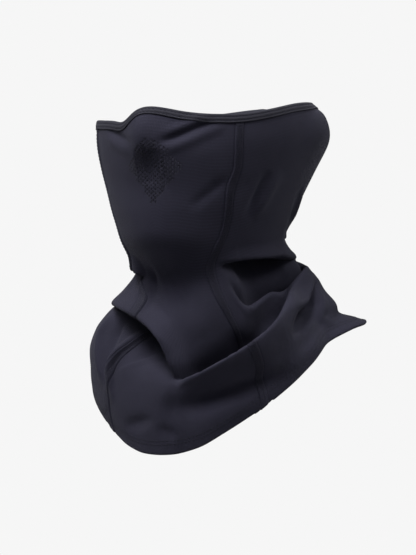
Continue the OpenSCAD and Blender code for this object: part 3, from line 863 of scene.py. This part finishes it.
def cross_threads(rows_p, rows_n, pitch, height, phase=0.0, zig=True):
    """Threads that pass to and fro between two rows of stitches."""
    (p1, n1), (p2, n2) = rows_p
    out = []
    s1 = np.concatenate([[0], np.cumsum(np.linalg.norm(np.diff(p1, axis=0), axis=1))])
    s2 = np.concatenate([[0], np.cumsum(np.linalg.norm(np.diff(p2, axis=0), axis=1))])
    count = int(s1[-1] // pitch)
    w = np.linspace(0, 1, 4)
    for i in range(count):
        f0, f1 = (i + phase) / count, (i + phase + (0.5 if zig else 0.0)) / count
        for a, b in ((f0, f1), (f1 + 0.0, f0 + 1.0 / count)) if zig else ((f0, f1),):
            if max(a, b) > 1:
                continue
            A_ = np.array([np.interp(a * s1[-1], s1, p1[:, c]) for c in range(3)])
            B_ = np.array([np.interp(b * s2[-1], s2, p2[:, c]) for c in range(3)])
            nA = np.array([np.interp(a * s1[-1], s1, n1[:, c]) for c in range(3)])
            nB = np.array([np.interp(b * s2[-1], s2, n2[:, c]) for c in range(3)])
            q = A_ + (B_ - A_) * w[:, None]
            m = unit(nA + (nB - nA) * w[:, None])
            h = np.array([-0.1, height, height, -0.1])
            out.append((q + m * h[:, None], m, 0.8))
    return out


TH = 0.24
# the binding's two rows of needle threads, and the looper threads inside
rows = []
for a, seed in ((1.5, 3), (4.25, 4)):
    rows += along(place(fr, np.full(len(fr[0]), o + 0.62), a), fr[3], 2.6, 1.95, 0.16, 0.25, closed=True, jitter=0.06, seed=seed)
bind_threads = threads("binding_needle_stitches", rows, TH)
p1, p2 = place(fr, np.full(len(fr[0]), o - 3.12), 1.5), place(fr, np.full(len(fr[0]), o - 3.12), 4.25)
rows = cross_threads(((p1, -fr[3]), (p2, -fr[3])), None, 2.6, 0.14)
rows += along(p1, -fr[3], 2.6, 2.3, 0.12, 0.15, closed=True, seed=5) + along(p2, -fr[3], 2.6, 2.3, 0.12, 0.15, closed=True, seed=6)
bind_looper = threads("binding_looper_stitches", rows, 0.22)


def seam_row(side, across, lift, z_from_top=6.1, z_to_hem=9.6):
    """A path along a seam, across millimetres from its middle, lift above the middle face."""
    z = seam_z(side, FINE)
    th = seam_angle(side, z)
    d = abs(across)
    off = across / mm_per_deg(th, z)
    p = surf(th + off, z, float(seam_lift(np.array([d]))[0]))
    q = surf(th + off + 0.6 / mm_per_deg(th, z), z, float(seam_lift(np.array([d]))[0]))
    t = unit(np.gradient(p, axis=0))
    n = unit(np.cross(q - p, -t))
    bn = base_normal(th, z)
    # the cloth's outward side, followed down the path from its top
    sign = np.sign((n[5] * bn[5]).sum())
    n = n * sign
    s = np.concatenate([[0], np.cumsum(np.linalg.norm(np.diff(p, axis=0), axis=1))])
    a, b = z_from_top, s[-1] - z_to_hem
    t = np.linspace(a, b, 700)
    p = np.stack([np.interp(t, s, p[:, c]) for c in range(3)], 1)
    n = unit(np.stack([np.interp(t, s, n[:, c]) for c in range(3)], 1))
    return p + n * lift, n


SEAM_ROWS = (-2.35, -0.8, 0.8, 2.35)


def seam_threads(side, cover_name, looper_name):
    up = [seam_row(side, a, THICK / 2 + 0.04) for a in SEAM_ROWS]
    rows = []
    for k, (p, n) in enumerate(up):
        rows += along(p, n, 2.5, 1.9, 0.14, 0.2, phase=0.25 * (k % 2), jitter=0.05, seed=10 + k)
    for k in range(3):
        rows += cross_threads((up[k], up[k + 1]), None, 2.5, 0.02, phase=0.1 * k)
    cover = threads(cover_name, rows, 0.2, sides=5)
    dn = [seam_row(side, a, -THICK / 2 - 0.04) for a in (-2.3, 0.0, 2.3)]
    dn = [(p, -n) for p, n in dn]
    rows = []
    for k, (p, n) in enumerate(dn):
        rows += along(p, n, 2.5, 2.2, 0.1, 0.12, seed=20 + k)
    for k in range(2):
        rows += cross_threads((dn[k], dn[k + 1]), None, 2.5, 0.08)
    loop = threads(looper_name, rows, 0.18, sides=5)
    return cover, loop


seam_parts = {}
for side, nm in (("L", "left"), ("R", "right"), ("B+", "back")):
    seam_parts[nm] = seam_threads(side, f"{nm}_seam_cover_stitches", f"{nm}_seam_looper_stitches")


def ring_from_hem(a, off):
    ps, ns = [], []
    for key in ("front", "left", "right"):
        g = PANELS[key]
        q, m = at_from_hem(g, a)
        ps.append(q[1:]); ns.append(m[1:])
    p, n = np.concatenate(ps), np.concatenate(ns)
    n = unit(smooth_ring(n, 4))
    p = smooth_ring(p, 2)
    p, n = even_ring(p, n, step=0.8)
    return p + n * off, n


rows = []
for a, seed in ((8.6, 30), (6.0, 31)):
    p, n = ring_from_hem(a, THICK / 2 + 0.02)
    rows += along(p, n, 2.7, 2.0, 0.12, 0.25, closed=True, jitter=0.06, seed=seed)
hem_threads = threads("hem_needle_stitches", rows, 0.21)
h1 = ring_from_hem(8.6, -THICK * 1.5 - 0.34)
h2 = ring_from_hem(6.0, -THICK * 1.5 - 0.34)
m = min(len(h1[0]), len(h2[0]))


def resample(pn, k):
    p, n = pn
    s = np.concatenate([[0], np.cumsum(np.linalg.norm(np.diff(p, axis=0), axis=1))])
    t = np.linspace(0, s[-1], k)
    return (np.stack([np.interp(t, s, p[:, c]) for c in range(3)], 1), -unit(np.stack([np.interp(t, s, n[:, c]) for c in range(3)], 1)))


h1, h2 = resample(h1, 900), resample(h2, 900)
rows = cross_threads((h1, h2), None, 2.7, 0.1) + along(*h1, 2.7, 2.4, 0.1, 0.1, seed=32) + along(*h2, 2.7, 2.4, 0.1, 0.1, seed=33)
hem_looper = threads("hem_looper_stitches", rows, 0.19, sides=5)

# ------------------------------------------------------------------ the blank care label and its tacks
lo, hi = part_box("care_label")
lx0, lx1, ly, lz0, lz1 = lo.x / MM, hi.x / MM, (lo.y + hi.y) / 2 / MM, lo.z / MM, hi.z / MM


def build_label():
    """A strip of satin tape folded at the bottom, with both ends caught at the top."""
    nx, gapy = 14, 0.13
    path = []
    h = lz1 - lz0
    for k in range(25):
        t = k / 24
        path.append((ly - gapy - 0.5 * math.sin(t * math.pi * 0.9) * 0.9 - 0.35 * t * t, lz1 - t * (h - 0.35)))
    y0, z0 = path[-1]
    yb = ly + gapy - 0.9 * 0.5 * math.sin(math.pi * 0.9) - 0.35
    for k in range(1, 6):
        a = math.pi * k / 6
        path.append(((y0 + yb) / 2 - (yb - y0) / 2 * math.cos(a), z0 - 0.3 * math.sin(a)))
    for k in range(25):
        t = 1 - k / 24
        path.append((ly + gapy - 0.5 * math.sin(t * math.pi * 0.9) * 0.9 - 0.35 * t * t, lz1 - t * (h - 0.35)))
    path = np.array(path)
    xs = np.linspace(lx0, lx1, nx)
    bow = 0.28 * (1 - ((xs - (lx0 + lx1) / 2) / (lx1 - lx0) * 2) ** 2)
    fade = ease((lz1 - path[:, 1]) / 12)
    p = np.stack([np.broadcast_to(xs[None, :], (len(path), nx)), path[:, :1] - fade[:, None] * bow[None, :],
                  np.broadcast_to(path[:, 1:], (len(path), nx))], -1)
    s = np.concatenate([[0], np.cumsum(np.linalg.norm(np.diff(path, axis=0), axis=1))])
    uv = np.stack([np.broadcast_to(xs[None, :], (len(path), nx)), np.broadcast_to(s[:, None], (len(path), nx))], -1).reshape(-1, 2) / 10
    q = grid_faces(len(path), nx)
    return shell("care_label_tape", p.reshape(-1, 3), q[:, ::-1], np.zeros((0, 3), int), uv, 0.1, 0.1)


label = build_label()
rows = []
tlo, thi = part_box("label_bartacks")
ty = tlo.y / MM
for sx in (-1, 1):
    xa, xb = (tlo.x / MM, tlo.x / MM + 3.2) if sx < 0 else (thi.x / MM - 3.2, thi.x / MM)
    for k in range(6):
        zz = tlo.z / MM + 0.1 + 0.11 * k
        xsn = np.linspace(xa, xb, 7)
        yy = ty + 0.32 + 0.16 * np.sin(np.linspace(0, np.pi, 7)) - (0.1 if k % 2 else 0)
        pts = np.stack([xsn, yy, np.full(7, zz)], 1)
        rows.append((pts, np.tile([0.0, 1.0, 0.0], (7, 1)), 0.8))
    for k in range(9):
        xx = xa + 0.2 + k * (xb - xa - 0.4) / 8
        pts = np.stack([np.full(4, xx), ty + 0.32 + np.array([0.0, 0.34, 0.34, 0.0]), np.linspace(tlo.z / MM + 0.02, thi.z / MM - 0.02, 4)], 1)
        rows.append((pts, np.tile([0.0, 1.0, 0.0], (4, 1)), 0.8))
tacks = threads("label_bartack_threads", rows, 0.13, sides=5)


# ------------------------------------------------------------------ materials
def new_material(name):
    m = bpy.data.materials.new(name)
    m.use_nodes = True
    nt = m.node_tree
    nt.nodes.clear()
    out = nt.nodes.new("ShaderNodeOutputMaterial")
    bsdf = nt.nodes.new("ShaderNodeBsdfPrincipled")
    nt.links.new(bsdf.outputs[0], out.inputs[0])
    return m, nt, bsdf


def nd(nt, kind, **props):
    n = nt.nodes.new(kind)
    for k, v in props.items():
        setattr(n, k, v)
    return n


def math_node(nt, op, a, b=None, c=None):
    n = nd(nt, "ShaderNodeMath", operation=op)
    for i, v in enumerate((a, b, c)):
        if v is None:
            continue
        if isinstance(v, (int, float)):
            n.inputs[i].default_value = v
        else:
            nt.links.new(v, n.inputs[i])
    return n.outputs[0]


def mix_rgb(nt, fac, a, b):
    n = nd(nt, "ShaderNodeMix", data_type="RGBA")
    n.clamp_factor = True
    if isinstance(fac, (int, float)):
        n.inputs[0].default_value = fac
    else:
        nt.links.new(fac, n.inputs[0])
    for i, v in ((6, a), (7, b)):
        if isinstance(v, tuple):
            n.inputs[i].default_value = (*v, 1)
        else:
            nt.links.new(v, n.inputs[i])
    return n.outputs[2]


def knit(nt, wale, course, uvname="cloth"):
    """Height of a fine jersey: columns of V-shaped stitches, wale and course millimetres apart."""
    uv = nd(nt, "ShaderNodeUVMap", uv_map=uvname)
    sep = nd(nt, "ShaderNodeSeparateXYZ")
    nt.links.new(uv.outputs[0], sep.inputs[0])
    # wander of the threads
    noise = nd(nt, "ShaderNodeTexNoise", noise_dimensions="2D")
    noise.inputs["Scale"].default_value = 2.2
    noise.inputs["Detail"].default_value = 2.0
    nt.links.new(uv.outputs[0], noise.inputs["Vector"])
    wob = math_node(nt, "MULTIPLY", math_node(nt, "SUBTRACT", noise.outputs[0], 0.5), 0.25)
    k = 20 * math.pi / wale  # the map's unit is 10 mm
    u = math_node(nt, "ADD", math_node(nt, "MULTIPLY", sep.outputs[0], k), wob)
    # V shape: courses rise on each side of a wale
    vee = math_node(nt, "ABSOLUTE", math_node(nt, "SINE", math_node(nt, "MULTIPLY", u, 0.5)))
    v = math_node(nt, "ADD", math_node(nt, "MULTIPLY", sep.outputs[1], 20 * math.pi / course), math_node(nt, "MULTIPLY", vee, 3.2))
    a = math_node(nt, "MULTIPLY_ADD", math_node(nt, "SINE", v), 0.5, 0.5)
    b = math_node(nt, "POWER", vee, 0.6)
    return math_node(nt, "MULTIPLY", a, b), uv, sep


def fabric(name, base_a, base_b, rough, sheen, wale, course, bump, rib=0.0, moire=0.0):
    m, nt, bsdf = new_material(name)
    h, uv, sep = knit(nt, wale, course)
    obj = nd(nt, "ShaderNodeTexCoord")
    cloud = nd(nt, "ShaderNodeTexNoise")
    cloud.inputs["Scale"].default_value = 24.0
    cloud.inputs["Detail"].default_value = 5.0
    cloud.inputs["Roughness"].default_value = 0.6
    nt.links.new(obj.outputs["Object"], cloud.inputs["Vector"])
    fuzz = nd(nt, "ShaderNodeTexNoise")
    fuzz.inputs["Scale"].default_value = 900.0
    fuzz.inputs["Detail"].default_value = 3.0
    nt.links.new(obj.outputs["Object"], fuzz.inputs["Vector"])
    tone = mix_rgb(nt, math_node(nt, "MULTIPLY_ADD", cloud.outputs[0], 1.5, -0.25), base_a, base_b)
    # painted shade: the colour is darkened in the gaps between stitches and kept at the cloth's tone on the yarn's lit
    # crowns
    stitch_gap_shade = tuple(0.55 * c for c in base_a)
    crown_light_fac = math_node(nt, "MULTIPLY_ADD", h, 0.5, 0.5)
    col = mix_rgb(nt, crown_light_fac, stitch_gap_shade, tone)
    speck = math_node(nt, "GREATER_THAN", fuzz.outputs[0], 0.68)
    col = mix_rgb(nt, math_node(nt, "MULTIPLY", speck, 0.25), col, tuple(min(1, 2.2 * c) for c in base_b))
    if moire:
        wave = math_node(nt, "SINE", math_node(nt, "MULTIPLY_ADD", sep.outputs[1], 27.0, math_node(nt, "MULTIPLY", sep.outputs[0], 1.6)))
        patch = nd(nt, "ShaderNodeTexNoise")
        patch.inputs["Scale"].default_value = 9.0
        nt.links.new(obj.outputs["Object"], patch.inputs["Vector"])
        amp = math_node(nt, "MULTIPLY", math_node(nt, "MAXIMUM", math_node(nt, "SUBTRACT", patch.outputs[0], 0.44), 0.0), moire)
        fac = math_node(nt, "MULTIPLY", math_node(nt, "MAXIMUM", wave, 0.0), amp)
        col = mix_rgb(nt, fac, col, tuple(2.4 * c for c in base_b))
    if name == "brushed_knit":
        # painted shade: the colour is darkened toward near black round the nose holes' rims
        edge = nd(nt, "ShaderNodeAttribute", attribute_name="hole_rim_shade")
        col = mix_rgb(nt, edge.outputs["Fac"], col, (0.0015, 0.0015, 0.002))
    nt.links.new(col, bsdf.inputs["Base Color"])
    rough_out = math_node(nt, "MULTIPLY_ADD", cloud.outputs[0], 0.16, rough - 0.08)
    nt.links.new(rough_out, bsdf.inputs["Roughness"])
    bsdf.inputs["Specular IOR Level"].default_value = 0.12
    bsdf.inputs["Sheen Weight"].default_value = sheen
    bsdf.inputs["Sheen Roughness"].default_value = 0.42
    bsdf.inputs["Sheen Tint"].default_value = (0.86, 0.88, 1.0, 1)
    height = math_node(nt, "MULTIPLY_ADD", fuzz.outputs[0], 0.35, h)
    if rib:
        ribs = math_node(nt, "SINE", math_node(nt, "MULTIPLY", sep.outputs[1], 20 * math.pi / rib))
        height = math_node(nt, "MULTIPLY_ADD", ribs, 0.5, height)
    b = nd(nt, "ShaderNodeBump")
    b.inputs["Strength"].default_value = bump
    b.inputs["Distance"].default_value = 0.00035
    nt.links.new(height, b.inputs["Height"])
    nt.links.new(b.outputs[0], bsdf.inputs["Normal"])
    return m


def thread_material(name, a, b_):
    m, nt, bsdf = new_material(name)
    obj = nd(nt, "ShaderNodeTexCoord")
    wave = nd(nt, "ShaderNodeTexWave", wave_type="BANDS", bands_direction="DIAGONAL")
    wave.inputs["Scale"].default_value = 900.0
    wave.inputs["Distortion"].default_value = 1.5
    nt.links.new(obj.outputs["Object"], wave.inputs["Vector"])
    noise = nd(nt, "ShaderNodeTexNoise")
    noise.inputs["Scale"].default_value = 60.0
    nt.links.new(obj.outputs["Object"], noise.inputs["Vector"])
    col = mix_rgb(nt, wave.outputs[1], a, b_)
    col = mix_rgb(nt, math_node(nt, "MULTIPLY", noise.outputs[0], 0.5), col, b_)
    nt.links.new(col, bsdf.inputs["Base Color"])
    nt.links.new(math_node(nt, "MULTIPLY_ADD", wave.outputs[1], 0.15, 0.58), bsdf.inputs["Roughness"])
    bsdf.inputs["Specular IOR Level"].default_value = 0.07
    bsdf.inputs["Sheen Weight"].default_value = 0.05
    bsdf.inputs["Sheen Roughness"].default_value = 0.3
    b = nd(nt, "ShaderNodeBump")
    b.inputs["Strength"].default_value = 0.5
    b.inputs["Distance"].default_value = 0.0001
    nt.links.new(wave.outputs[1], b.inputs["Height"])
    nt.links.new(b.outputs[0], bsdf.inputs["Normal"])
    return m


cloth_mat = fabric("brushed_knit", (0.0128, 0.0122, 0.0222), (0.0174, 0.0166, 0.0292), 0.8, 0.02, 0.85, 0.62, 0.55, moire=0.7)
bind_mat = fabric("binding_knit", (0.0134, 0.0131, 0.0200), (0.0180, 0.0176, 0.0255), 0.68, 0.035, 0.7, 0.5, 0.5)
elastic_mat = fabric("elastic_tape", (0.010, 0.010, 0.012), (0.016, 0.016, 0.018), 0.7, 0.05, 1.1, 0.8, 0.6, rib=1.1)
label_mat = fabric("label_satin", (0.035, 0.035, 0.038), (0.05, 0.05, 0.054), 0.4, 0.1, 0.3, 0.24, 0.35)
thread_mat = thread_material("polyester_thread", (0.0122, 0.0119, 0.0192), (0.0195, 0.0190, 0.0290))
hem_thread_mat = thread_material("hem_thread", (0.008, 0.008, 0.012), (0.014, 0.014, 0.019))


def dress(ob, mat, nodes, body="garment"):
    ob.data.materials.clear()
    ob.data.materials.append(mat)
    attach(ob, body)
    if nodes:
        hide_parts(*nodes)


dress(front, cloth_mat, ["front_panel"])
dress(left, cloth_mat, ["left_back_panel"])
dress(right, cloth_mat, ["right_back_panel"])
dress(binding, bind_mat, ["top_binding"])
dress(elastic, elastic_mat, ["binding_elastic"])
dress(bind_threads, thread_mat, ["binding_needle_threads"])
dress(bind_looper, thread_mat, ["binding_looper_threads"])
for nm in ("left", "right", "back"):
    dress(seam_parts[nm][0], thread_mat, [f"{nm}_seam_cover_threads"])
    dress(seam_parts[nm][1], thread_mat, [f"{nm}_seam_looper_threads"])
dress(hem_threads, hem_thread_mat, ["hem_needle_threads"])
dress(hem_looper, thread_mat, ["hem_looper_threads"])
dress(tacks, thread_mat, ["label_bartacks"])
dress(label, label_mat, ["care_label"], body="label")


# ------------------------------------------------------------------ studio
AZ = math.radians(27.0)
DIST = 1.6
right_v = Vector((math.cos(AZ), math.sin(AZ), 0))
back_v = Vector((math.sin(AZ), -math.cos(AZ), 0))
aim = Vector((0, 0, -0.020)) + right_v * (-4 * 0.00073)
cam_data = bpy.data.cameras.new("camera")
cam_data.lens = 36.0 * DIST / (555 * 0.00073)
cam_data.sensor_width = 36.0
cam_data.dof.use_dof = False
cam = bpy.data.objects.new("camera", cam_data)
cam.location = aim + back_v * DIST
cam.rotation_mode = "QUATERNION"
cam.rotation_quaternion = (-back_v).to_track_quat("-Z", "Y")
bpy.context.scene.collection.objects.link(cam)
bpy.context.scene.camera = cam

floor_me = bpy.data.meshes.new("floor")
n = 96
pts = [(0, 0, -0.42)] + [(1.45 * math.cos(2 * math.pi * i / n), 1.45 * math.sin(2 * math.pi * i / n), -0.42) for i in range(n)]
floor_me.from_pydata(pts, [], [(0, 1 + i, 1 + (i + 1) % n) for i in range(n)])
floor = bpy.data.objects.new("floor", floor_me)
bpy.context.scene.collection.objects.link(floor)
fm, fnt, fb = new_material("floor_pale")
fb.inputs["Base Color"].default_value = (0.86, 0.86, 0.86, 1)
fb.inputs["Roughness"].default_value = 0.9
floor_me.materials.append(fm)
floor.visible_diffuse = False

world = bpy.data.worlds.new("studio")
bpy.context.scene.world = world
world.use_nodes = True
wnt = world.node_tree
wnt.nodes.clear()
wout = wnt.nodes.new("ShaderNodeOutputWorld")
bg_seen, bg_light = wnt.nodes.new("ShaderNodeBackground"), wnt.nodes.new("ShaderNodeBackground")
bg_seen.inputs[0].default_value = (0.922, 0.922, 0.922, 1)
bg_seen.inputs[1].default_value = 1.0
bg_light.inputs[0].default_value = (0.97, 0.98, 1.0, 1)
bg_light.inputs[1].default_value = 0.30
sky = wnt.nodes.new("ShaderNodeTexCoord")
sky_sep = wnt.nodes.new("ShaderNodeSeparateXYZ")
wnt.links.new(sky.outputs["Generated"], sky_sep.inputs[0])
up_share = wnt.nodes.new("ShaderNodeMapRange")
up_share.interpolation_type = "SMOOTHSTEP"
for i, v in ((1, -0.55), (2, 0.85), (3, 0.06), (4, 0.52)):
    up_share.inputs[i].default_value = v
wnt.links.new(sky_sep.outputs[2], up_share.inputs[0])
wnt.links.new(up_share.outputs[0], bg_light.inputs[1])
lp, mx = wnt.nodes.new("ShaderNodeLightPath"), wnt.nodes.new("ShaderNodeMixShader")
wnt.links.new(lp.outputs["Is Camera Ray"], mx.inputs[0])
wnt.links.new(bg_light.outputs[0], mx.inputs[1])
wnt.links.new(bg_seen.outputs[0], mx.inputs[2])
wnt.links.new(mx.outputs[0], wout.inputs[0])


def area_light(name, az, el, dist, size, power, target=(0, 0, -0.02)):
    a, e = math.radians(az), math.radians(el)
    d = Vector((math.sin(a) * math.cos(e), -math.cos(a) * math.cos(e), math.sin(e)))
    data = bpy.data.lights.new(name, "AREA")
    data.shape = "RECTANGLE"
    data.size, data.size_y = size
    data.energy = power
    ob = bpy.data.objects.new(name, data)
    ob.location = Vector(target) + d * dist
    ob.rotation_mode = "QUATERNION"
    ob.rotation_quaternion = d.to_track_quat("Z", "Y")
    bpy.context.scene.collection.objects.link(ob)
    return ob


area_light("key", -4, 58, 1.7, (0.7, 0.7), 55)
area_light("side_left", -62, 52, 1.7, (0.6, 0.8), 14)
area_light("side_right", 104, 50, 1.7, (0.7, 0.8), 19)

vs = bpy.context.scene.view_settings
vs.view_transform = "Standard"
vs.look = "None"
vs.exposure = 0.0
vs.gamma = 1.0
